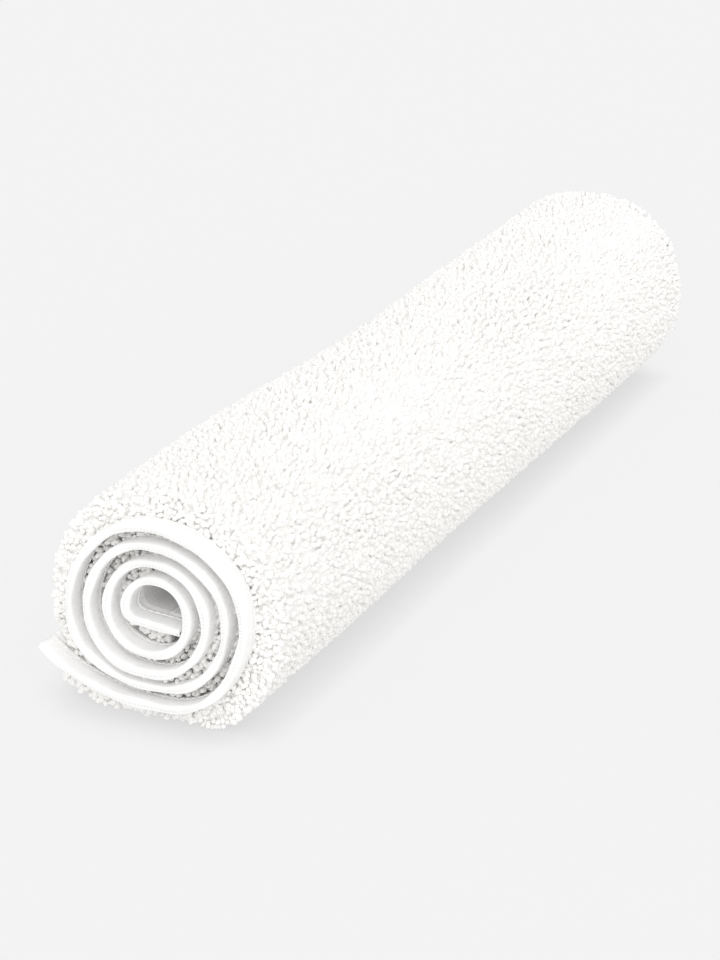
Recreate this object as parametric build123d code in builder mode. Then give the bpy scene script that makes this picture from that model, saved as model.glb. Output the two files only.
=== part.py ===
"""Bath mat, rolled up: a tufted cotton mat with hemmed edges, wound around itself with the pile outwards.

Millimetres. The roll lies along Y and rests on the floor, Z = 0. The winding ends in a loose tail on the
-X side. The origin is on the floor, under the middle of the whole object.

The mat is drawn as a winding: the line that the middle of its ground cloth follows, seen along Y. Every
layer is a band beside that line. A place on the mat is given by
    along   distance along the winding, from 0 at the inner end to mat_length at the outer end
    offset  distance from the middle of the cloth, positive on the pile side, which faces outwards
"""

from build123d import *

import os
from dataclasses import dataclass
from math import cos, degrees, pi, sin

# The flat mat.
mat_width = 500.0  # finished width, which is the length of the roll
mat_length = 700.0  # finished length, which is wound up
hem_width = 11.0
cloth_thickness = 1.0
coat_thickness = 0.4  # rubbery coat that locks the tufts into the back of the cloth
tape_thickness = 1.0  # one layer of the folded hem
pile_height = 13.0  # where the pile stands free

# The roll.
turn_pitch = 7.2  # from one turn to the next, above and below
flat_growth = 0.8  # the roll has sagged: a level run after each half turn, this much longer than the last
core_radius = 11.9  # of the winding where its even turns begin
curl_radius = 5.5  # the tight bend between the inner end and the even turns
inner_reach = 1.2  # how far the inner end goes past the width that the core and its bend leave it
tail_length = 50.0  # the outer end stands a little away from the roll
tail_radius = 63.0
floor_pile = 8.5  # height left of the pile that the roll rests on

# Clearances.
turn_gap = 0.3  # between the pile and the back of the next turn
hem_gap = 0.3  # between a hem and the pile, coat or hem beside it

# The seams. Each has a needle thread on the pile side and a bobbin thread on the back.
thread_width = 0.6
thread_height = 0.4
seam_inset = 2.0  # from the sewn edge of the hem to the seam

cloth_face = cloth_thickness / 2
inner_run = 2 * core_radius - curl_radius + inner_reach  # the inner end lies straight across the core
hem_face = cloth_face + tape_thickness
back_face = cloth_face + coat_thickness
seam_face = hem_face + thread_height
wound_pile_top = turn_pitch - back_face - turn_gap
free_pile_top = cloth_face + pile_height
field_start = hem_width + hem_gap
field_end = mat_length - field_start
field_width = mat_width - 2 * field_start
quarter = pi / 2


def direction(angle):
    return Vector(cos(angle), sin(angle))


@dataclass
class Run:
    """A stretch of the winding: straight, or bent clockwise with one radius."""

    start: Vector
    heading: float
    length: float
    radius: float = 0.0

    def bend(self, distance):
        return distance / self.radius if self.radius else 0.0

    def centre(self):
        return self.start + direction(self.heading - quarter) * self.radius

    def point(self, distance, offset):
        outwards = direction(self.heading - self.bend(distance) + quarter)
        if self.radius:
            return self.centre() + outwards * (self.radius + offset)
        return self.start + direction(self.heading) * distance + outwards * offset


def run_before(end, heading, length, radius=0.0):
    """The run of this length and radius that ends at a point with a heading."""
    if not radius:
        return Run(end - direction(heading) * length, heading, length)
    centre = end + direction(heading - quarter) * radius
    first_heading = heading + length / radius
    return Run(centre + direction(first_heading + quarter) * radius, first_heading, length, radius)


def even_turns(bottom, angle):
    """The runs that wind through an angle and end at the bottom: quarter bends whose radius grows evenly,
    and a level run after every second bend."""
    runs = []
    end, heading, left = bottom, pi, angle
    while left > 1e-6:
        if len(runs) % 3 == 0:
            runs.insert(0, run_before(end, heading, flat_growth * left / pi))
            end = runs[0].start
        bend = min(left, quarter)
        radius = core_radius + turn_pitch * (left - bend / 2) / (2 * pi)
        runs.insert(0, run_before(end, heading, radius * bend, radius))
        end, heading, left = runs[0].start, runs[0].heading, left - bend
    return runs


def wound_angle(length):
    """The angle through which even turns of this length wind, found by halving."""
    low, high = 0.0, length / core_radius
    for _ in range(60):
        middle = (low + high) / 2
        if sum(run.length for run in even_turns(Vector(0, 0), middle)) < length:
            low = middle
        else:
            high = middle
    return low


def wind_up(bottom):
    """The winding's runs in order, from the inner end to the outer end. The tail starts at the bottom."""
    curl_length = curl_radius * quarter
    turns = even_turns(bottom, wound_angle(mat_length - inner_run - curl_length - tail_length))
    curl = run_before(turns[0].start, turns[0].heading, curl_length, curl_radius)
    inner_end = run_before(curl.start, curl.heading, inner_run)
    tail = Run(bottom, pi, tail_length, tail_radius)
    return [inner_end, curl, *turns, tail]


def middle_of(runs):
    """X midway between the tip of the tail and the far side of the outermost turn."""
    tail_tip = runs[-1].point(tail_length, hem_face)
    far_side = runs[-3].point(0.0, free_pile_top)
    return (tail_tip.X + far_side.X) / 2


roll_bottom = cloth_face + floor_pile
winding = wind_up(Vector(-middle_of(wind_up(Vector(0, 0))), roll_bottom))

# Distances along the winding, from its inner end. The outermost turn starts and ends with a level run.
last_level_run = mat_length - tail_length - winding[-2].length
outermost_turn = mat_length - tail_length - sum(run.length for run in winding[-8:-1])


def stretches(first, last):
    """(run, from, to) for each run of the winding between two distances along it."""
    passed = 0.0
    for run in winding:
        low = max(first - passed, 0.0)
        high = min(last - passed, run.length)
        if high - low > 1e-4:
            yield run, low, high
        passed += run.length


def draw_line(first, last, offset):
    """Draws the line beside the winding in the open BuildLine, and gives its two ends."""
    parts = list(stretches(first, last))
    for run, low, high in parts:
        if run.radius:
            start_angle = degrees(run.heading - run.bend(low) + quarter)
            CenterArc(run.centre(), run.radius + offset, start_angle, -degrees(run.bend(high - low)))
        else:
            Line(run.point(low, offset), run.point(high, offset))
    first_run, low, _ = parts[0]
    last_run, _, high = parts[-1]
    return first_run.point(low, offset), last_run.point(high, offset)


def draw_band(first, last, inner, outer):
    """Draws the outline of a layer between two offsets."""
    inner_start, inner_stop = draw_line(first, last, inner)
    outer_start, outer_stop = draw_line(first, last, outer)
    Line(inner_start, outer_start)
    Line(inner_stop, outer_stop)


os.makedirs("parts", exist_ok=True)

# The woven cloth that everything is worked on. The hems are folded over its edges.
with BuildPart() as ground_cloth:
    with BuildSketch(Plane.XZ):
        with BuildLine():
            draw_band(tape_thickness, mat_length - tape_thickness, -cloth_face, cloth_face)
        make_face()
    extrude(amount=mat_width / 2 - tape_thickness, both=True)

with BuildPart() as back_coat:
    with BuildSketch(Plane.XZ):
        with BuildLine():
            draw_band(field_start, field_end, -back_face, -cloth_face)
        make_face()
    extrude(amount=field_width / 2, both=True)

# The pile is pressed flat between the turns and stands free on the outermost one, except where that turn's
# last level run and the tail lie on it.
with BuildPart() as pile:
    with BuildSketch(Plane.XZ):
        with BuildLine():
            draw_band(field_start, outermost_turn, cloth_face, wound_pile_top)
        make_face()
        with BuildLine():
            draw_band(outermost_turn, last_level_run, cloth_face, free_pile_top)
        make_face()
        with BuildLine():
            draw_band(last_level_run, mat_length, -seam_face - turn_gap, free_pile_top)
        make_face(mode=Mode.SUBTRACT)
        with BuildLine():
            draw_band(last_level_run, field_end, cloth_face, free_pile_top)
        make_face()
    extrude(amount=field_width / 2, both=True)
    split(bisect_by=Plane.XY, keep=Keep.TOP)

# A side hem is tape folded around the cloth's edge, closed at both ends of the mat.
with BuildPart() as front_side_hem:
    with BuildSketch(Plane.XZ.offset(mat_width / 2)):
        with BuildLine():
            draw_band(0.0, mat_length, -hem_face, hem_face)
        make_face()
    extrude(amount=-hem_width)
    with BuildSketch(Plane.XZ.offset(mat_width / 2 - tape_thickness)):
        with BuildLine():
            draw_band(tape_thickness, mat_length - tape_thickness, -cloth_face, cloth_face)
        make_face()
    extrude(amount=-hem_width, mode=Mode.SUBTRACT)

with BuildPart() as rear_side_hem:
    mirror(front_side_hem.part, about=Plane.XZ)

pieces = {
    "ground_cloth": ground_cloth,
    "back_coat": back_coat,
    "pile": pile,
    "front_side_hem": front_side_hem,
    "rear_side_hem": rear_side_hem,
}

# The end hems lie between the side hems, and are folded the same way.
end_hems = {
    "inner_end": (0.0, hem_width, tape_thickness, hem_width),
    "outer_end": (mat_length - hem_width, mat_length, mat_length - hem_width, mat_length - tape_thickness),
}
for end, (hem_from, hem_to, cloth_from, cloth_to) in end_hems.items():
    with BuildPart() as end_hem:
        with BuildSketch(Plane.XZ):
            with BuildLine():
                draw_band(hem_from, hem_to, -hem_face, hem_face)
            make_face()
            with BuildLine():
                draw_band(cloth_from, cloth_to, -cloth_face, cloth_face)
            make_face(mode=Mode.SUBTRACT)
        extrude(amount=field_width / 2, both=True)
    pieces[f"{end}_hem"] = end_hem

# Each seam's two threads lie on the two faces of its hem.
thread_layers = {
    "needle_thread": (hem_face, seam_face),
    "bobbin_thread": (-seam_face, -hem_face),
}
seam_ends = {
    "inner_end": hem_width - seam_inset,
    "outer_end": mat_length - hem_width + seam_inset,
}
for thread, (inner, outer) in thread_layers.items():
    with BuildPart() as front_thread:
        with BuildSketch(Plane.XZ.offset(mat_width / 2 - hem_width + seam_inset)):
            with BuildLine():
                draw_band(seam_inset, mat_length - seam_inset, inner, outer)
            make_face()
        extrude(amount=thread_width / 2, both=True)
    pieces[f"front_side_{thread}"] = front_thread

    with BuildPart() as rear_thread:
        mirror(front_thread.part, about=Plane.XZ)
    pieces[f"rear_side_{thread}"] = rear_thread

    for end, middle in seam_ends.items():
        with BuildPart() as end_thread:
            with BuildSketch(Plane.XZ):
                with BuildLine():
                    draw_band(middle - thread_width / 2, middle + thread_width / 2, inner, outer)
                make_face()
            extrude(amount=field_width / 2, both=True)
        pieces[f"{end}_{thread}"] = end_thread

for name, piece in pieces.items():
    piece.part.label = name
    export_step(piece.part, f"parts/{name}.step")
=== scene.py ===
"""A bath mat, rolled up with its tufted cotton pile outwards, on a pale floor in soft light.

Metres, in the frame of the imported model: the roll lies along Y on the floor, Z = 0, and its loose outer
end is on the -X side. A place on the mat is given by three numbers:
    along   distance along the winding, from 0 at the inner end to MAT_LENGTH at the outer end
    y       distance along the roll
    offset  distance from the middle of the ground cloth, positive on the pile side, which faces outwards
"""

import math
from dataclasses import dataclass

import bpy
import numpy as np
from mathutils import Matrix, Vector


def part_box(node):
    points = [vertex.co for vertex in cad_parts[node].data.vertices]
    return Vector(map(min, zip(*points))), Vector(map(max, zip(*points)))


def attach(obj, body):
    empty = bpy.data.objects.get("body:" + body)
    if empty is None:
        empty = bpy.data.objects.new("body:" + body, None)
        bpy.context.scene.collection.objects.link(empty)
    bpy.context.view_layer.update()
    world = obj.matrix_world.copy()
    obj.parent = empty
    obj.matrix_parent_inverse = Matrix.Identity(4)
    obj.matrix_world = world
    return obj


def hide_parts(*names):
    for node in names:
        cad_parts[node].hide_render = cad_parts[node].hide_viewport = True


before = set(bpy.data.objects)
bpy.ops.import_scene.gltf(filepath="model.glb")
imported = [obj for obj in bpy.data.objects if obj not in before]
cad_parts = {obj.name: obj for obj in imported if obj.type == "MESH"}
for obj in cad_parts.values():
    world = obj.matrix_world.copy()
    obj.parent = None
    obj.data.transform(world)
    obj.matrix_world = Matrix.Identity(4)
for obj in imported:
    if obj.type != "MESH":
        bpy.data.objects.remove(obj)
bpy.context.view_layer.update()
bpy.ops.object.select_all(action="DESELECT")

MM = 0.001
QUARTER = math.pi / 2

# The flat mat.
MAT_WIDTH = 500 * MM
MAT_LENGTH = 700 * MM
HEM_WIDTH = 11 * MM
CLOTH_THICKNESS = 1.0 * MM
COAT_THICKNESS = 0.4 * MM
TAPE_THICKNESS = 1.0 * MM
PILE_HEIGHT = 13 * MM

# The roll.
TURN_PITCH = 7.2 * MM
FLAT_GROWTH = 0.8 * MM  # the roll has sagged: a level run after each half turn, longer each time by this
CORE_RADIUS = 11.9 * MM
CURL_RADIUS = 5.5 * MM
INNER_REACH = 1.2 * MM  # how far the inner end goes past the width that its bend leaves it in the core
TAIL_LENGTH = 50 * MM
TAIL_RADIUS = 63 * MM
FLOOR_PILE = 8.5 * MM
TURN_GAP = 0.3 * MM
HEM_GAP = 0.3 * MM
SEAM_INSET = 2 * MM

INNER_RUN = 2 * CORE_RADIUS - CURL_RADIUS + INNER_REACH
CLOTH_FACE = CLOTH_THICKNESS / 2
BACK_FACE = CLOTH_FACE + COAT_THICKNESS
HEM_FACE = CLOTH_FACE + TAPE_THICKNESS
FREE_PILE_TOP = CLOTH_FACE + PILE_HEIGHT
FIELD_START = HEM_WIDTH + HEM_GAP
FIELD_END = MAT_LENGTH - FIELD_START
FIELD_HALF = MAT_WIDTH / 2 - FIELD_START

# The pile.
TUFT_SPACING_ALONG = 2.05 * MM
TUFT_SPACING_ACROSS = 2.5 * MM
NUB_SPACING_ALONG = 1.75 * MM
NUB_SPACING_UP = 1.7 * MM
SHAPES = 8  # of the tufts, and as many of the nubs
YARN_SIDES = 6
BED_SHARE = 0.83  # how much of the pile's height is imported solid, below the free tips
EDGE_ROOM = 1.2 * MM  # from the pile's two end faces to the outermost tufts
FLOOR_CLEARANCE = 0.15 * MM  # from the floor to the lowest yarn
PILE_STRIPS = 7  # the visible pile is in several meshes, none of them too heavy

# The seams.
STITCH_LENGTH = 2.9 * MM
STITCH_PITCH = 3.1 * MM
THREAD_RADIUS = 0.3 * MM

# The stage.
FLOOR_SIZE = 12
FLOOR_SHADE = 0.1
FLOOR_GLOW = 0.787
SHADOW_REACH = 18 * MM  # how far the floor looks for the roll above it
SHADOW_DEPTH = 0.22
ROOM_LIGHT = 0.945
LAMP_LIGHT = 0.84
LAMP_SPREAD = math.radians(50)


# The winding.


def unit(angle):
    return np.stack([np.cos(angle), np.sin(angle)], axis=-1)


@dataclass
class Run:
    """A stretch of the winding in the XZ plane: straight, or bent clockwise with one radius."""

    start: np.ndarray
    heading: float
    length: float
    radius: float = 0.0

    def centre(self):
        return self.start + unit(self.heading - QUARTER) * self.radius

    def follow(self, distance):
        """The points at distances along the run, and the directions that the pile faces there."""
        if not self.radius:
            outward = np.broadcast_to(unit(self.heading + QUARTER), (len(distance), 2))
            return self.start + distance[:, None] * unit(self.heading), outward
        outward = unit(self.heading - distance / self.radius + QUARTER)
        return self.centre() + outward * self.radius, outward


def run_before(end, heading, length, radius=0.0):
    """The run of this length and radius that ends at a point with a heading."""
    if not radius:
        return Run(end - unit(heading) * length, heading, length)
    centre = end + unit(heading - QUARTER) * radius
    first_heading = heading + length / radius
    return Run(centre + unit(first_heading + QUARTER) * radius, first_heading, length, radius)


def even_turns(bottom, angle):
    """The runs that wind through an angle and end at the bottom: quarter bends whose radius grows evenly,
    and a level run after every second bend."""
    runs = []
    end, heading, left = bottom, math.pi, angle
    while left > 1e-6:
        if len(runs) % 3 == 0:
            runs.insert(0, run_before(end, heading, FLAT_GROWTH * left / math.pi))
            end = runs[0].start
        bend = min(left, QUARTER)
        radius = CORE_RADIUS + TURN_PITCH * (left - bend / 2) / (2 * math.pi)
        runs.insert(0, run_before(end, heading, radius * bend, radius))
        end, heading, left = runs[0].start, runs[0].heading, left - bend
    return runs


def wound_angle(length):
    """The angle through which even turns of this length wind, found by halving."""
    low, high = 0.0, length / CORE_RADIUS
    for _ in range(60):
        middle = (low + high) / 2
        if sum(run.length for run in even_turns(np.zeros(2), middle)) < length:
            low = middle
        else:
            high = middle
    return low


def wind_up(bottom):
    """The winding's runs in order, from the inner end to the outer end. The tail starts at the bottom."""
    curl_length = CURL_RADIUS * QUARTER
    turns = even_turns(bottom, wound_angle(MAT_LENGTH - INNER_RUN - curl_length - TAIL_LENGTH))
    curl = run_before(turns[0].start, turns[0].heading, curl_length, CURL_RADIUS)
    inner_end = run_before(curl.start, curl.heading, INNER_RUN)
    tail = Run(bottom, math.pi, TAIL_LENGTH, TAIL_RADIUS)
    return [inner_end, curl, *turns, tail]


def place_winding():
    """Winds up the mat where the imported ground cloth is."""
    bottom = np.array([0.0, CLOTH_FACE + FLOOR_PILE])
    far_side, outward = wind_up(bottom)[-3].follow(np.zeros(1))
    cloth_side = far_side[0, 0] + outward[0, 0] * CLOTH_FACE
    bottom[0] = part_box("ground_cloth")[1].x - cloth_side
    return wind_up(bottom)


WINDING = place_winding()
RUN_STARTS = np.cumsum([0.0] + [run.length for run in WINDING])
TAIL_ROOT = MAT_LENGTH - TAIL_LENGTH
LAST_TURN = sum(run.length for run in WINDING[-8:-1])


def follow_winding(along):
    """Points and outward directions in the XZ plane, at distances along the winding."""
    along = np.clip(np.asarray(along, float), 0, MAT_LENGTH)
    points, outward = np.zeros((2, len(along), 2))
    which = np.clip(np.searchsorted(RUN_STARTS, along, side="right") - 1, 0, len(WINDING) - 1)
    for number, run in enumerate(WINDING):
        here = which == number
        points[here], outward[here] = run.follow(along[here] - RUN_STARTS[number])
    return points, outward


def slimness(x, y, z):
    """How much a point is in the upper left of the roll, halfway along it, where the roll is slimmer."""
    roll_middle, roll_radius = 0.044, 0.05
    halfway = np.clip(1 - (2 * y / MAT_WIDTH) ** 2, 0, 1)
    upper_left = np.clip((0.73 * (z - roll_middle) - 0.68 * x) / roll_radius, 0, 1)
    return halfway * upper_left


def settle(points):
    """Shifts the mat a little, as a hand-rolled one lies. The floor side stays where it is."""
    x, y, z = points[:, 0], points[:, 1], points[:, 2]
    lift = np.clip(z / 0.03, 0, 1)
    sideways = 0.9 * np.sin(y / 0.071 + 0.6) + 0.5 * np.sin(y / 0.033 + z / 0.04)
    upward = 0.7 * np.sin(y / 0.058 + 2.1) + 0.6 * np.sin(x / 0.028 + y / 0.045)
    sideways = sideways + 0.7 * np.sin(z / 0.012 + y / 0.05 + 1.3) + 1.8 * (y / MAT_WIDTH + 0.5) ** 2
    upward = upward + 0.6 * np.sin(x / 0.011 + y / 0.06 + 0.4)
    slim = slimness(x, y, z)
    sideways = sideways + 1.7 * slim
    upward = upward - 1.8 * slim
    return points + np.stack([sideways * lift, 0 * y, upward * lift], axis=1) * MM


def on_mat(along, y, offset):
    """Places on the mat, as points in space."""
    along, y, offset = (np.asarray(v, float).ravel() for v in np.broadcast_arrays(along, y, offset))
    points, outward = follow_winding(along)
    across = y + (1.1 * np.sin(along / 0.053) + 0.7 * np.sin(along / 0.021 + 1)) * MM
    flat = points + outward * offset[:, None]
    return settle(np.stack([flat[:, 0], across, flat[:, 1]], axis=1))


def directions_on_mat(along):
    """Along the winding, and out of the pile, as directions in space."""
    outward = follow_winding(along)[1]
    out = np.stack([outward[:, 0], 0 * outward[:, 0], outward[:, 1]], axis=1)
    forward = np.stack([out[:, 2], out[:, 1], -out[:, 0]], axis=1)
    return forward, out


def measure_room():
    """How high the pile can stand over the cloth, at even distances along the winding: to the back of the
    next turn, to the floor, or to its own full height."""
    along = np.arange(0, MAT_LENGTH, 1 * MM)
    to_next_turn = 15  # steps of 1 mm that pass over the place's own surroundings
    points, outward = follow_winding(along)
    forward = np.stack([outward[:, 1], -outward[:, 0]], axis=1)
    room = np.full(len(along), FREE_PILE_TOP)
    for i in range(len(along)):
        later = slice(i + to_next_turn, None)
        height = (points[later] - points[i]) @ outward[i]
        ahead = (points[later] - points[i]) @ forward[i]
        crossing = (ahead[:-1] * ahead[1:] <= 0) & (height[:-1] > 0)
        if crossing.any():
            room[i] = min(room[i], height[:-1][crossing].min() - BACK_FACE - TURN_GAP)
        if outward[i, 1] < 0:
            room[i] = min(room[i], -points[i, 1] / outward[i, 1])
    return along, room


ROOM_ALONG, ROOM = measure_room()


def room_over(along):
    return np.interp(along, ROOM_ALONG, ROOM)


# Making pieces.


def mesh_piece(name, points, faces, uv=None):
    """A piece from its points and faces, smooth, with a UV coordinate for each point."""
    mesh = bpy.data.meshes.new(name)
    mesh.from_pydata(points.tolist(), [], faces)
    if uv is not None:
        corners = np.zeros(len(mesh.loops), np.int32)
        mesh.loops.foreach_get("vertex_index", corners)
        mesh.uv_layers.new(name="cloth").data.foreach_set("uv", uv[corners].astype(np.float32).ravel())
    mesh.polygons.foreach_set("use_smooth", np.ones(len(mesh.polygons), bool))
    piece = bpy.data.objects.new(name, mesh)
    bpy.context.scene.collection.objects.link(piece)
    return piece


def face_outwards(piece):
    """Turns the faces of a closed piece outwards, and leaves nothing selected."""
    bpy.ops.object.select_all(action="DESELECT")
    piece.select_set(True)
    bpy.context.view_layer.objects.active = piece
    bpy.ops.object.mode_set(mode="EDIT")
    bpy.ops.mesh.select_all(action="SELECT")
    bpy.ops.mesh.normals_make_consistent(inside=False)
    bpy.ops.object.mode_set(mode="OBJECT")
    bpy.ops.object.select_all(action="DESELECT")


def steps(first, last, step):
    """Even steps from first to last, about this long."""
    return np.linspace(first, last, max(2, round((last - first) / step) + 1))


def make_tube(name, along, y, offset, uv):
    """A closed skin through rows of places on the mat. Each row goes round the piece once."""
    rows, around = along.shape
    points = on_mat(along, y, offset)
    faces = []
    for row in range(rows - 1):
        for k in range(around):
            after = (k + 1) % around
            low, high = row * around, (row + 1) * around
            faces.append((low + k, low + after, high + after, high + k))
    faces.append(tuple(range(around)))
    faces.append(tuple(range((rows - 1) * around, rows * around)))
    piece = mesh_piece(name, points, faces, uv)
    face_outwards(piece)
    return piece


def make_layer(name, along, y, lower, upper):
    """A closed layer of the mat between two heights over the cloth, each given as a grid."""
    rows, columns = len(along), len(y)
    grid_along, grid_y = np.meshgrid(along, y, indexing="ij")
    ring_y = np.concatenate([grid_y, grid_y[:, ::-1]], axis=1)
    ring_along = np.concatenate([grid_along, grid_along[:, ::-1]], axis=1)
    ring_offset = np.concatenate([lower, upper[:, ::-1]], axis=1)
    points = on_mat(ring_along, ring_y, ring_offset)
    uv = np.stack([ring_along.ravel(), ring_y.ravel()], axis=1)
    around = 2 * columns
    index = np.arange(rows * around).reshape(rows, around)
    after = np.roll(index, -1, axis=1)
    sides = np.stack([index[:-1], after[:-1], after[1:], index[1:]], axis=-1).reshape(-1, 4).tolist()
    ends = []
    for row in (index[0], index[-1]):
        low, high = row[:columns], row[columns:][::-1]
        ends += np.stack([low[:-1], low[1:], high[1:], high[:-1]], axis=-1).tolist()
    piece = mesh_piece(name, points, sides + ends, uv)
    face_outwards(piece)
    return piece


# The cloth and its coat.


def make_ground_cloth():
    edge = TAPE_THICKNESS
    along = steps(edge, MAT_LENGTH - edge, 2.5 * MM)
    y = steps(edge - MAT_WIDTH / 2, MAT_WIDTH / 2 - edge, 8 * MM)
    flat = np.full((len(along), len(y)), CLOTH_FACE)
    return make_layer("ground_cloth_woven", along, y, -flat, flat)


def make_back_coat():
    along = steps(FIELD_START, FIELD_END, 2.5 * MM)
    y = steps(-FIELD_HALF, FIELD_HALF, 4 * MM)
    grid_along, grid_y = np.meshgrid(along, y, indexing="ij")
    mottle = np.sin(grid_along / 0.0031 + 2 * np.sin(grid_y / 0.013)) * np.sin(grid_y / 0.0043)
    upper = np.full(grid_y.shape, -CLOTH_FACE)
    return make_layer("back_coat_skin", along, y, -BACK_FACE - 0.2 * MM * mottle, upper)


# The hems. Each is tape folded over an edge of the cloth.


def hem_profile():
    """Round the folded tape: how far each point is in from the mat's edge, and its offset."""
    fold = 1.75 * MM  # half the height of the fold, which stands a little proud
    seam = HEM_FACE - 0.25 * MM  # the tape is drawn in along the seam
    inside = CLOTH_FACE + 0.02 * MM
    seam_at = HEM_WIDTH - SEAM_INSET
    face = [
        (0.0, 0.35 * fold),
        (0.25 * MM, 0.7 * fold),
        (0.8 * MM, 0.93 * fold),
        (1.8 * MM, fold),
        (3.6 * MM, HEM_FACE + 0.18 * MM),
        (6.0 * MM, HEM_FACE + 0.1 * MM),
        (seam_at - 1.0 * MM, HEM_FACE),
        (seam_at, seam),
        (seam_at + 0.9 * MM, HEM_FACE),
        (HEM_WIDTH - 0.35 * MM, HEM_FACE - 0.02 * MM),
        (HEM_WIDTH, HEM_FACE - 0.3 * MM),
        (HEM_WIDTH, inside),
        (TAPE_THICKNESS, inside),
    ]
    pile_side = np.array(face)
    back_side = pile_side[::-1] * [1, -1]
    return np.concatenate([pile_side, back_side])


def ripple_hem(profile, distance, phase):
    """How far in from the mat's edge the points of a slightly wavy hem are, and their offsets. The edge is
    wavy, which dies out 6 mm in from it, and the faces swell and thin a little along the hem."""
    inset, height = profile[None, :, 0], profile[None, :, 1]
    edge = 0.35 * np.sin(distance / 0.0121 + phase) + 0.25 * np.sin(distance / 0.0047 + 2 * phase)
    puff = 0.12 * np.sin(distance / 0.0083 + phase) + 0.1 * np.sin(distance / 0.0031 + phase)
    at_edge = np.clip(1 - inset / (6 * MM), 0, 1)
    on_face = (inset > 0.2 * MM) * (inset < HEM_WIDTH - 3 * MM)
    return inset + edge * MM * at_edge, height * (1 + puff * on_face)


def make_side_hem(name, side):
    profile = hem_profile()
    along = steps(0, MAT_LENGTH, 2 * MM)[:, None]
    inwards, offset = ripple_hem(profile, along, 1.7 * side)
    return make_hem(name, along, side * (MAT_WIDTH / 2 - inwards), offset, profile)


def make_end_hem(name, at_outer_end):
    profile = hem_profile()
    y = steps(-FIELD_HALF, FIELD_HALF, 2.5 * MM)[:, None]
    inwards, offset = ripple_hem(profile, y, 0.9 + at_outer_end)
    along = MAT_LENGTH - inwards if at_outer_end else inwards
    return make_hem(name, along, y, offset, profile)


def make_hem(name, along, y, offset, profile):
    """A hem through its grid of places, with a UV map that runs along it and round its profile."""
    along, y, offset = np.broadcast_arrays(along, y, offset)
    path = np.linspace(0, max(np.ptp(along), np.ptp(y)), along.shape[0])
    round_it = np.concatenate([[0], np.cumsum(np.linalg.norm(np.diff(profile, axis=0), axis=1))])
    uv = np.stack(np.meshgrid(path, round_it, indexing="ij"), axis=-1).reshape(-1, 2)
    return make_tube(name, along, y, offset, uv)


# What repeats: modelled once, then copied over the mat.


def take_shape(piece):
    """The points and faces of a modelled shape, which is then put away."""
    mesh = piece.data
    points = np.array([vertex.co for vertex in mesh.vertices])
    faces = [tuple(polygon.vertices) for polygon in mesh.polygons]
    bpy.data.objects.remove(piece)
    bpy.data.meshes.remove(mesh)
    return points, faces


def draw_yarn(radii, root, moves, centres):
    """The shape of a short length of yarn, drawn up through rings from its root to its tip. Each ring is the
    last one moved on, and then resized about a centre."""
    bpy.ops.mesh.primitive_circle_add(
        vertices=YARN_SIDES, radius=radii[0], fill_type="NGON", location=(0, 0, root)
    )
    yarn = bpy.context.object
    bpy.ops.object.transform_apply(location=True, rotation=True, scale=True)
    bpy.ops.object.mode_set(mode="EDIT")
    bpy.ops.mesh.select_all(action="SELECT")
    for move, centre, grow in zip(moves, centres, radii[1:] / radii[:-1]):
        bpy.ops.mesh.extrude_region_move(TRANSFORM_OT_translate={"value": tuple(move)})
        bpy.ops.transform.resize(value=(grow, grow, 1), center_override=tuple(centre))
    bpy.ops.mesh.select_all(action="SELECT")
    bpy.ops.mesh.normals_make_consistent(inside=False)
    bpy.ops.object.mode_set(mode="OBJECT")
    return take_shape(yarn)


def model_tuft(rng):
    """A tuft of soft yarn: a bent finger with a knobbly, rounded tip. Its root is buried in the bed."""
    heights = np.array([8.2, 10.2, 12.0, 13.1]) * MM
    radii = np.array([1.05, 1.35, 1.3, 0.6]) * MM * rng.uniform(0.88, 1.14, 4)
    climb = (heights - heights[0]) / (heights[-1] - heights[0])
    bend = rng.uniform(0.3, 1.5) * MM * climb**1.5
    sway = rng.uniform(-0.7, 0.7) * MM * np.sin(climb * math.pi)
    path = np.column_stack([bend, sway, heights])
    points, faces = draw_yarn(radii, heights[0], np.diff(path, axis=0), path[1:])
    points[:, :2] += rng.normal(0, 0.12 * MM, (len(points), 2))
    return points, faces


def model_nub(rng):
    """A short loop end: a rounded lump, a little lopsided."""
    heights = np.array([-0.8, 0.7, 1.9, 2.7]) * MM
    radii = np.array([1.0, 1.5, 1.3, 0.55]) * MM * rng.uniform(0.85, 1.15, 4)
    sway = rng.normal(0, 0.25, (4, 2)) * MM
    moves = np.column_stack([sway[1:], np.diff(heights)])
    centres = np.column_stack([np.cumsum(sway, axis=0)[1:], heights[1:]])
    return draw_yarn(radii, heights[0], moves, centres)


def model_stitch():
    """One stitch on the face of a hem: a short length of thread that dives into the tape at both ends."""
    bpy.ops.mesh.primitive_cylinder_add(
        vertices=YARN_SIDES, radius=THREAD_RADIUS, depth=STITCH_LENGTH / 2, rotation=(0, QUARTER, 0)
    )
    stitch = bpy.context.object
    bpy.ops.object.transform_apply(location=True, rotation=True, scale=True)
    for side in (-1, 1):
        bpy.ops.object.mode_set(mode="EDIT")
        bpy.ops.mesh.select_all(action="DESELECT")
        bpy.ops.object.mode_set(mode="OBJECT")
        for polygon in stitch.data.polygons:
            polygon.select = polygon.normal.x * side > 0.9
        bpy.ops.object.mode_set(mode="EDIT")
        bpy.ops.mesh.select_mode(type="FACE")
        for share, dip in ((1 / 5, 0.2 * MM), (1 / 12, 0.35 * MM)):
            move = (side * STITCH_LENGTH * share, 0, -dip)
            bpy.ops.mesh.extrude_region_move(TRANSFORM_OT_translate={"value": move})
        bpy.ops.object.mode_set(mode="OBJECT")
    return take_shape(stitch)


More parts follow.
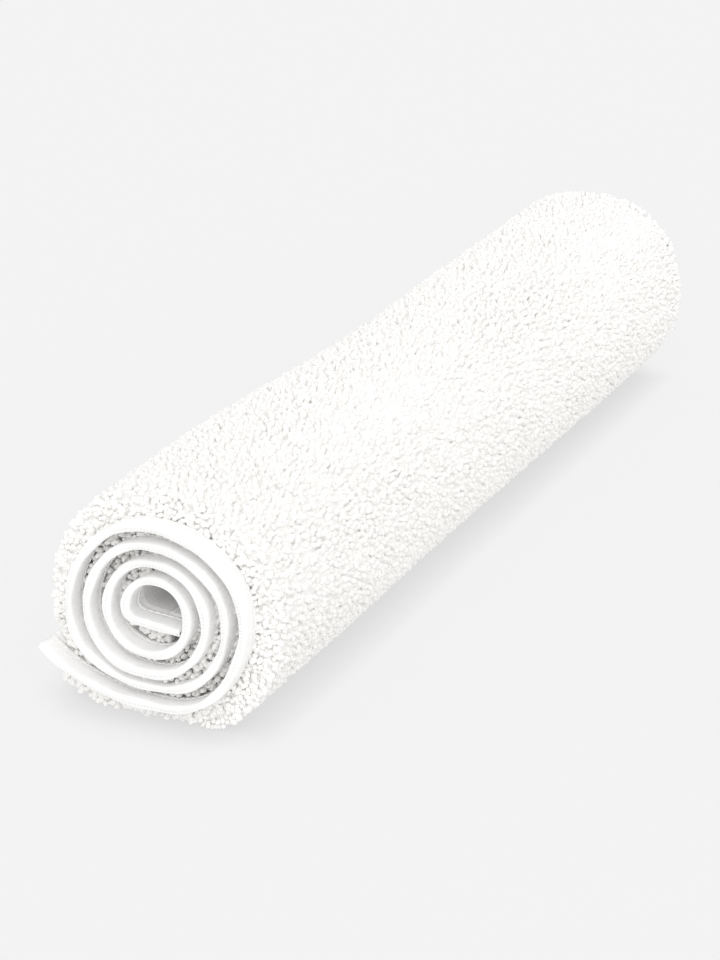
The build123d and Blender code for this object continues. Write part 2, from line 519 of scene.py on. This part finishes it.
def copy_shape(name, shapes, kind, base, axes, turn, width, height, lean):
    """A piece of many copies. Each stands at its base on three axes, after it is turned about the third,
    made wider and higher, and leant over by a sideways step at its top."""
    scatter = 12.9898  # spreads the tones of neighbours
    points, faces, tones = [], [], []
    passed = 0
    for number, (shape, shape_faces) in enumerate(shapes):
        here = np.flatnonzero(kind == number)
        cosine, sine = np.cos(turn[here])[:, None], np.sin(turn[here])[:, None]
        x = (shape[:, 0] * cosine - shape[:, 1] * sine) * width[here][:, None]
        y = (shape[:, 0] * sine + shape[:, 1] * cosine) * width[here][:, None]
        z = shape[:, 2] * height[here][:, None]
        top = max(shape[:, 2].max(), 1e-6)
        leaning = np.clip(shape[:, 2] / top, 0, 1) ** 1.5
        x = x + lean[here][:, :1] * leaning
        y = y + lean[here][:, 1:] * leaning
        forward, across, out = (axis[here][:, None, :] for axis in axes)
        placed = x[..., None] * forward + y[..., None] * across + z[..., None] * out
        points.append((base[here][:, None, :] + placed).reshape(-1, 3))
        first = passed + np.arange(len(here)) * len(shape)
        for start in first.tolist():
            faces += [tuple(start + corner for corner in face) for face in shape_faces]
        tones.append(np.repeat(np.sin(first * scatter) * 0.5 + 0.5, len(shape)))
        passed += len(here) * len(shape)
    points = np.concatenate(points)
    points[:, 2] = np.maximum(points[:, 2], FLOOR_CLEARANCE)
    piece = mesh_piece(name, points, faces)
    piece.data.attributes.new("tone", "FLOAT", "POINT").data.foreach_set(
        "value", np.concatenate(tones).astype(np.float32)
    )
    return piece


# The pile.


def make_pile_bed():
    """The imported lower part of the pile, which fills the spaces between the tufts' roots."""
    along = steps(FIELD_START + 1 * MM, FIELD_END - 1 * MM, 2.2 * MM)
    y = steps(0.2 * MM - FIELD_HALF, FIELD_HALF - 0.2 * MM, 3.6 * MM)
    grid_along, grid_y = np.meshgrid(along, y, indexing="ij")
    lumps = 1 + 0.06 * np.sin(grid_along / 0.0013) * np.sin(grid_y / 0.0017 + grid_along)
    upper = CLOTH_FACE + (room_over(along)[:, None] - CLOTH_FACE) * BED_SHARE * lumps
    lower = np.full(upper.shape, CLOTH_FACE)
    return make_layer("pile_bed", along, y, lower, upper)


def lay_out_tufts(rng, first, last, columns):
    """Where tufts stand over a stretch of the mat: staggered rows, each tuft a little out of line."""
    rows = steps(first, last, TUFT_SPACING_ALONG)
    along = np.repeat(rows, len(columns))
    stagger = np.repeat(np.arange(len(rows)) % 2, len(columns)) * TUFT_SPACING_ACROSS / 2
    y = np.tile(columns, len(rows)) + stagger
    along = along + rng.normal(0, 0.22, len(along)) * TUFT_SPACING_ALONG
    y = y + rng.normal(0, 0.2, len(y)) * TUFT_SPACING_ACROSS
    edge, margin = FIELD_HALF - EDGE_ROOM, 0.8 * MM
    return np.clip(along, FIELD_START + margin, FIELD_END - margin), np.clip(y, -edge, edge)


def make_tufts(name, shapes, rng, along, y):
    """A strip of tufts, each as high as there is room for. They lean outwards at the pile's edges, and more
    where they are pressed flat."""
    share = (room_over(along) - CLOTH_FACE) / PILE_HEIGHT
    pressed = 1 - share
    count = len(along)
    side_edge, end_edge = 5 * MM, 6 * MM
    base = on_mat(along, y, CLOTH_FACE)
    forward, out = directions_on_mat(along)
    across = np.tile([0.0, 1.0, 0.0], (count, 1))
    side = np.clip((np.abs(y) - (FIELD_HALF - side_edge)) / side_edge, 0, 1) * np.sign(y)
    splay = (1.8 + 2.5 * pressed) * MM * side * rng.uniform(0.5, 1.3, count)
    end = np.clip((along - (FIELD_END - end_edge)) / end_edge, 0, 1)
    start = np.clip((FIELD_START + end_edge - along) / end_edge, 0, 1)
    lean = rng.normal(0, 0.8 * MM, (count, 2))
    lean[:, 0] += (end - start) * 2.5 * MM
    lean[:, 1] += splay
    width = rng.uniform(0.85, 1.15, count) * (1 + 0.25 * pressed)
    height = share * rng.uniform(0.9, 1.03, count)
    turn = rng.uniform(0, 2 * math.pi, count)
    kind = rng.integers(0, len(shapes), count)
    return copy_shape(name, shapes, kind, base, (forward, across, out), turn, width, height, lean)


def make_edge_nubs(name, shapes, rng, side):
    """The loop ends on one end face of the pile, from the cloth up to the tips. They point out over the hem.
    Where the pile is pressed, they reach further out and lean less."""
    lowest = CLOTH_FACE + 0.9 * MM
    alongs, heights = [], []
    for along in np.arange(FIELD_START + 1 * MM, FIELD_END - 1 * MM, NUB_SPACING_ALONG):
        top = float(room_over(along)) - 1.2 * MM
        rows = np.arange(lowest, max(top, CLOTH_FACE + 1 * MM), NUB_SPACING_UP)
        alongs.append(np.full(len(rows), along))
        heights.append(rows)
    along, height = np.concatenate(alongs), np.concatenate(heights)
    count = len(along)
    along = along + rng.normal(0, 0.5 * MM, count)
    height = np.minimum(height + rng.normal(0, 0.4 * MM, count), room_over(along) - 1 * MM)
    height = np.maximum(height, lowest)
    pressed = 1 - np.clip((room_over(along) - CLOTH_FACE) / PILE_HEIGHT, 0, 1)
    reach = rng.uniform(-0.8, 0.6, count) * MM + pressed * rng.uniform(0, 5.5, count) * MM
    base = on_mat(along, side * (FIELD_HALF - 0.6 * MM + reach), height)
    forward, out = directions_on_mat(along)
    tilt = rng.normal(0, 0.4, (count, 2))
    axis = forward * tilt[:, :1] + out * (0.2 + tilt[:, 1:]) * (1 - 0.8 * pressed[:, None])
    axis[:, 1] = side
    axis = axis / np.linalg.norm(axis, axis=1)[:, None]
    first = np.cross(axis, forward)
    first = first / np.linalg.norm(first, axis=1)[:, None]
    second = np.cross(axis, first)
    width = rng.uniform(0.72, 1.0, count)
    tall = rng.uniform(0.7, 1.1, count)
    turn = rng.uniform(0, 2 * math.pi, count)
    kind = rng.integers(0, len(shapes), count)
    lean = np.zeros((count, 2))
    return copy_shape(name, shapes, kind, base, (first, second, axis), turn, width, tall, lean)


def make_pile():
    """All the tufts that can be seen, in strips along the winding: over the outermost turn and the tail, and
    at both ends of the turns inside. The nubs of the two end faces come last."""
    rng = np.random.default_rng(20)
    tufts = [model_tuft(rng) for _ in range(SHAPES)]
    outermost = FIELD_HALF - EDGE_ROOM
    columns = steps(-outermost, outermost, TUFT_SPACING_ACROSS)
    end_columns = np.concatenate([columns[:5], columns[-5:]])
    outer_from = TAIL_ROOT - LAST_TURN
    inner_places = lay_out_tufts(rng, FIELD_START, outer_from, end_columns)
    pieces = [make_tufts("pile_inner_turns", tufts, rng, *inner_places)]
    cuts = np.linspace(outer_from, FIELD_END, PILE_STRIPS + 1)
    for number in range(PILE_STRIPS):
        places = lay_out_tufts(rng, cuts[number] + TUFT_SPACING_ALONG / 2, cuts[number + 1], columns)
        pieces.append(make_tufts(f"pile_strip_{number + 1}", tufts, rng, *places))
    nubs = [model_nub(rng) for _ in range(SHAPES)]
    pieces.append(make_edge_nubs("pile_front_nubs", nubs, rng, -1))
    pieces.append(make_edge_nubs("pile_rear_nubs", nubs, rng, 1))
    return pieces


# The seams.


def make_seam(name, stitch, along, y, face):
    """A row of stitches along a seam, on the pile side (face 1) or on the back (face -1)."""
    count = max(len(along), len(y))
    along, y = np.broadcast_to(along, count), np.broadcast_to(y, count)
    base = on_mat(along, y, face * (HEM_FACE + 0.05 * MM))
    ahead = np.roll(base, -1, axis=0) - base
    ahead[-1] = base[-1] - base[-2]
    forward = ahead / np.linalg.norm(ahead, axis=1)[:, None]
    out = directions_on_mat(along)[1] * face
    across = np.cross(out, forward)
    none, whole, lean = np.zeros(count), np.ones(count), np.zeros((count, 2))
    kind = np.zeros(count, int)
    return copy_shape(name, [stitch], kind, base, (forward, across, out), none, whole, whole, lean)


def make_seams():
    """The needle and bobbin threads of the four hems, each as a row of stitches."""
    stitch = model_stitch()
    side_along = steps(SEAM_INSET, MAT_LENGTH - SEAM_INSET, STITCH_PITCH)
    end_y = steps(2 * MM - FIELD_HALF, FIELD_HALF - 2 * MM, STITCH_PITCH)
    side_y = MAT_WIDTH / 2 - HEM_WIDTH + SEAM_INSET
    end_inset = HEM_WIDTH - SEAM_INSET
    routes = {
        "front_side": (side_along, np.array([-side_y])),
        "rear_side": (side_along, np.array([side_y])),
        "inner_end": (np.array([end_inset]), end_y),
        "outer_end": (np.array([MAT_LENGTH - end_inset]), end_y),
    }
    seams = {}
    for edge, (along, y) in routes.items():
        for thread, face in (("needle_thread", 1), ("bobbin_thread", -1)):
            seams[f"{edge}_{thread}"] = make_seam(f"{edge}_{thread}_stitches", stitch, along, y, face)
    return seams


# Materials.


def new_material(name, colour, roughness, sheen):
    """A matte material, with its nodes, links and shader."""
    material = bpy.data.materials.new(name)
    material.use_nodes = True
    shader = material.node_tree.nodes["Principled BSDF"]
    shader.inputs["Base Color"].default_value = (*colour, 1)
    shader.inputs["Roughness"].default_value = roughness
    shader.inputs["Sheen Weight"].default_value = sheen
    shader.inputs["Sheen Roughness"].default_value = 0.5
    shader.inputs["Specular IOR Level"].default_value = 0.2
    return material, material.node_tree.nodes, material.node_tree.links, shader


def add_noise(nodes, links, coordinates, scale, detail=2.0):
    noise = nodes.new("ShaderNodeTexNoise")
    noise.inputs["Scale"].default_value = scale
    noise.inputs["Detail"].default_value = detail
    links.new(coordinates, noise.inputs["Vector"])
    return noise.outputs["Fac"]


def add_wave(nodes, links, coordinates, direction, scale, distortion=0.0):
    wave = nodes.new("ShaderNodeTexWave")
    wave.bands_direction = direction
    wave.inputs["Scale"].default_value = scale
    wave.inputs["Distortion"].default_value = distortion
    links.new(coordinates, wave.inputs["Vector"])
    return wave.outputs["Fac"]


def combine(nodes, links, operation, first, second):
    """The sum or product of two values, each a number or a node's output."""
    node = nodes.new("ShaderNodeMath")
    node.operation = operation
    for socket, value in zip(node.inputs, (first, second)):
        if isinstance(value, float):
            socket.default_value = value
        else:
            links.new(value, socket)
    return node.outputs["Value"]


def shade_between(nodes, links, shader, factor, dark, light):
    """Colours the shader from dark to light as the factor goes from 0 to 1."""
    mix = nodes.new("ShaderNodeMix")
    mix.data_type = "RGBA"
    mix.inputs["A"].default_value = (*dark, 1)
    mix.inputs["B"].default_value = (*light, 1)
    links.new(factor, mix.inputs["Factor"])
    links.new(mix.outputs["Result"], shader.inputs["Base Color"])


def add_bump(nodes, links, shader, height, distance, strength=1.0):
    bump = nodes.new("ShaderNodeBump")
    bump.inputs["Distance"].default_value = distance
    bump.inputs["Strength"].default_value = strength
    links.new(height, bump.inputs["Height"])
    links.new(bump.outputs["Normal"], shader.inputs["Normal"])


def cotton_pile():
    """Soft spun yarn: fuzzy, matte, each tuft a shade of its own."""
    material, nodes, links, shader = new_material("cotton_pile", (0.94, 0.93, 0.91), 0.95, 0.35)
    position = nodes.new("ShaderNodeTexCoord").outputs["Object"]
    tone = nodes.new("ShaderNodeAttribute")
    tone.attribute_name = "tone"
    fuzz = add_noise(nodes, links, position, 1100.0, 4.0)
    slub = add_noise(nodes, links, position, 330.0, 2.0)
    own_shade = combine(nodes, links, "MULTIPLY", tone.outputs["Fac"], 0.6)
    unevenness = combine(nodes, links, "MULTIPLY", slub, 0.5)
    shade = combine(nodes, links, "ADD", own_shade, unevenness)
    shade_between(nodes, links, shader, shade, (0.958, 0.948, 0.93), (0.985, 0.978, 0.965))
    add_bump(nodes, links, shader, fuzz, 0.5 * MM, 0.7)
    return material


def woven_cotton(name, colour, thread_pitch, depth):
    """Plain weave: threads over and under each other, with a little unevenness."""
    material, nodes, links, shader = new_material(name, colour, 0.9, 0.25)
    cloth = nodes.new("ShaderNodeTexCoord").outputs["UV"]
    wave_length = math.pi / 10  # of a wave texture of scale 1
    scale = wave_length / (2 * thread_pitch)  # a wave goes over one thread and under the next
    warp = add_wave(nodes, links, cloth, "X", scale, 0.6)
    weft = add_wave(nodes, links, cloth, "Y", scale, 0.6)
    weave = combine(nodes, links, "MULTIPLY", warp, weft)
    mottle = add_noise(nodes, links, cloth, 140.0, 3.0)
    height = combine(nodes, links, "ADD", weave, combine(nodes, links, "MULTIPLY", mottle, 0.8))
    dark = tuple(c * 0.97 for c in colour)
    shade_between(nodes, links, shader, mottle, dark, colour)
    add_bump(nodes, links, shader, height, depth, 0.6)
    return material


def sewing_thread():
    """Twisted thread with a faint gloss."""
    material, nodes, links, shader = new_material("sewing_thread", (0.95, 0.945, 0.93), 0.6, 0.2)
    position = nodes.new("ShaderNodeTexCoord").outputs["Object"]
    twist = add_wave(nodes, links, position, "DIAGONAL", 900.0)
    add_bump(nodes, links, shader, twist, 0.08 * MM, 0.5)
    return material


def give(piece, material):
    """Makes this the piece's only material."""
    piece.data.materials.clear()
    piece.data.materials.append(material)


# The stage.


def make_stage():
    """A pale floor that fills the view. It glows, except for a faint shadow close to the roll."""
    bpy.ops.mesh.primitive_plane_add(size=FLOOR_SIZE, location=(0, 0, 0))
    floor = bpy.context.object
    floor.name = "floor"
    material, nodes, links, shader = new_material("pale_floor", (FLOOR_SHADE,) * 3, 1.0, 0.0)
    shader.inputs["Specular IOR Level"].default_value = 0.0
    shader.inputs["Emission Strength"].default_value = FLOOR_GLOW
    contact = nodes.new("ShaderNodeAmbientOcclusion")
    contact.inputs["Distance"].default_value = SHADOW_REACH
    glow = nodes.new("ShaderNodeMixRGB")
    glow.inputs["Fac"].default_value = SHADOW_DEPTH
    glow.inputs["Color1"].default_value = (1, 1, 1, 1)
    links.new(contact.outputs["Color"], glow.inputs["Color2"])
    links.new(glow.outputs["Color"], shader.inputs["Emission Color"])
    give(floor, material)


def make_lights():
    """An even white room, and one very large soft light from above, in front and to the right."""
    world = bpy.data.worlds.new("white_room")
    bpy.context.scene.world = world
    world.use_nodes = True
    background = world.node_tree.nodes["Background"]
    background.inputs["Color"].default_value = (1, 1, 1, 1)
    background.inputs["Strength"].default_value = ROOM_LIGHT
    light = bpy.data.lights.new("soft_light", "SUN")
    light.energy = LAMP_LIGHT
    light.angle = LAMP_SPREAD
    lamp = bpy.data.objects.new("soft_light", light)
    bpy.context.scene.collection.objects.link(lamp)
    towards = Vector((-0.4, 0.85, -0.6)).normalized()
    lamp.rotation_euler = towards.to_track_quat("-Z", "Y").to_euler()


def make_camera():
    """Looks down at the front end of the roll from its right, with the roll running away."""
    roll_radius = 51.5 * MM
    front_middle = Vector((0.8 * MM, -242.3 * MM, 43.7 * MM))
    radii_away = Vector((8.956, -16.397, 8.264))
    right = Vector((0.91233, 0.40945, 0))
    down = Vector((0.14669, -0.32685, -0.93362))
    forward = Vector((-0.38227, 0.85177, -0.35826))
    data = bpy.data.cameras.new("camera")
    data.sensor_width = 36
    data.lens = 102.4
    data.clip_start, data.clip_end = 0.01, 50
    camera = bpy.data.objects.new("camera", data)
    bpy.context.scene.collection.objects.link(camera)
    turn = Matrix((right, -down, -forward)).transposed().to_4x4()
    place = front_middle + radii_away * roll_radius
    camera.matrix_world = Matrix.Translation(place) @ turn
    bpy.context.scene.camera = camera


def make_mat():
    pile = cotton_pile()
    tape = woven_cotton("hem_tape", (0.985, 0.981, 0.973), 0.7 * MM, 0.12 * MM)
    cloth = woven_cotton("ground_cloth", (0.96, 0.952, 0.94), 1.0 * MM, 0.2 * MM)
    coat = woven_cotton("coated_back", (0.965, 0.96, 0.95), 1.3 * MM, 0.16 * MM)
    thread = sewing_thread()

    ground_cloth = make_ground_cloth()
    back_coat = make_back_coat()
    bed = make_pile_bed()
    strips = make_pile()
    hems = {
        "front_side_hem": make_side_hem("front_side_hem_tape", -1),
        "rear_side_hem": make_side_hem("rear_side_hem_tape", 1),
        "inner_end_hem": make_end_hem("inner_end_hem_tape", 0),
        "outer_end_hem": make_end_hem("outer_end_hem_tape", 1),
    }
    seams = make_seams()

    dressed = [(ground_cloth, cloth, "ground_cloth"), (back_coat, coat, "back_coat"), (bed, pile, "pile")]
    dressed += [(strip, pile, "pile") for strip in strips]
    dressed += [(hem, tape, "hem_tape") for hem in hems.values()]
    dressed += [(seam, thread, "thread") for seam in seams.values()]
    for piece, material, slot in dressed:
        give(piece, material)
        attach(piece, "root")
    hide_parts("ground_cloth")
    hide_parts("back_coat")
    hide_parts("pile")
    for node, piece in {**hems, **seams}.items():
        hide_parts(node)


make_mat()
make_stage()
make_lights()
make_camera()
bpy.context.scene.view_settings.view_transform = "Standard"
